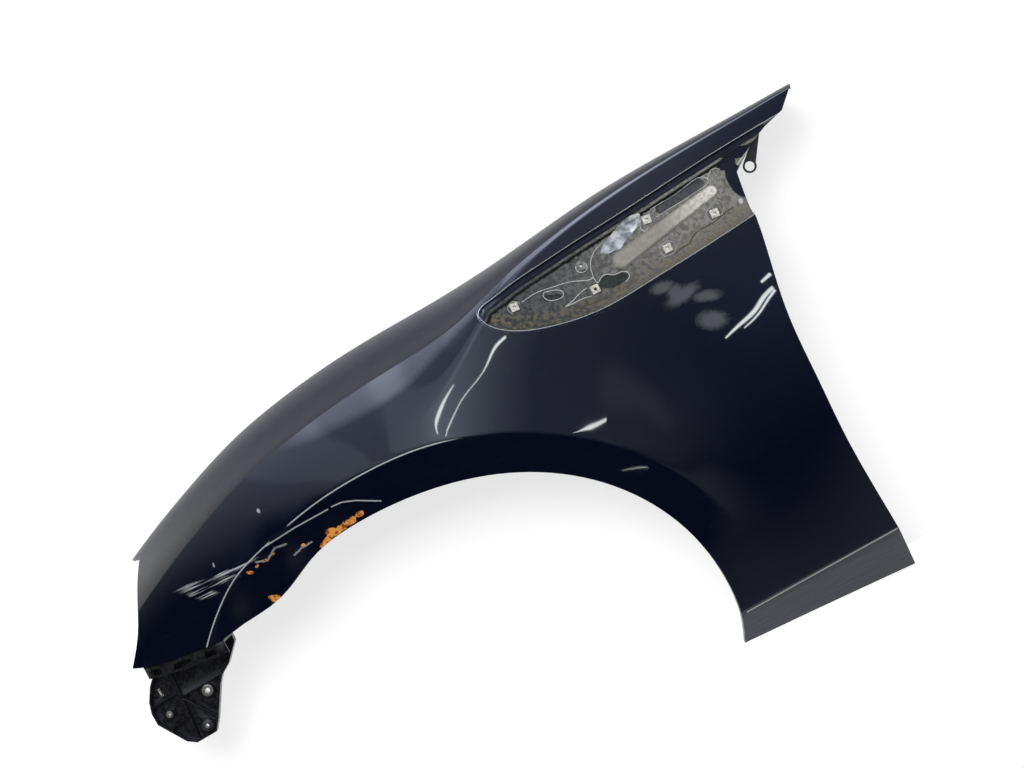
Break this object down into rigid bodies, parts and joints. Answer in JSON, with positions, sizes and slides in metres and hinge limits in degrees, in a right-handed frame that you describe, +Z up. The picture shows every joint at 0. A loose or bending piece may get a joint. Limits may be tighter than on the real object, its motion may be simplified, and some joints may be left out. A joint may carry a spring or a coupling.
{
  "type": "car fender",
  "caption": "Left front car fender: a stamped steel skin over a flared wheel arch, with a trim recess, returned bolt edges, a ribbed bumper bracket and a rear eyelet lug.",
  "frame": {"origin": "underside of the third bolt face of the ledge under the bonnet edge, 10 mm in front of the face's middle", "axes": "+X to the rear of the car, +Y to the middle of the car, +Z up"},
  "size_m": [1.3376, 0.2461, 0.763],
  "materials": {
    "navy_paint": "gloss",
    "bracket_plastic": "satin",
    "plated_steel": "satin",
    "dark_steel": "satin",
    "rivet_plastic": "matte",
    "clip_plastic": "matte",
    "grommet_rubber": "matte",
    "bracket_steel": "satin"
  },
  "bodies": {
    "root": {"fender_panel": "navy_paint", "front_bracket": "bracket_plastic", "bracket_sleeve": "plated_steel", "bracket_insert": "plated_steel", "bracket_spring_clip": "plated_steel", "bracket_nut": "dark_steel", "bracket_rivet_1": "rivet_plastic", "bracket_rivet_2": "rivet_plastic", "pocket_clip_1": "clip_plastic", "pocket_clip_2": "clip_plastic", "pocket_clip_3": "clip_plastic", "pocket_clip_4": "clip_plastic", "pocket_clip_5": "clip_plastic", "pocket_grommet": "grommet_rubber", "rear_bracket": "bracket_steel"}
  },
  "joints": []
}
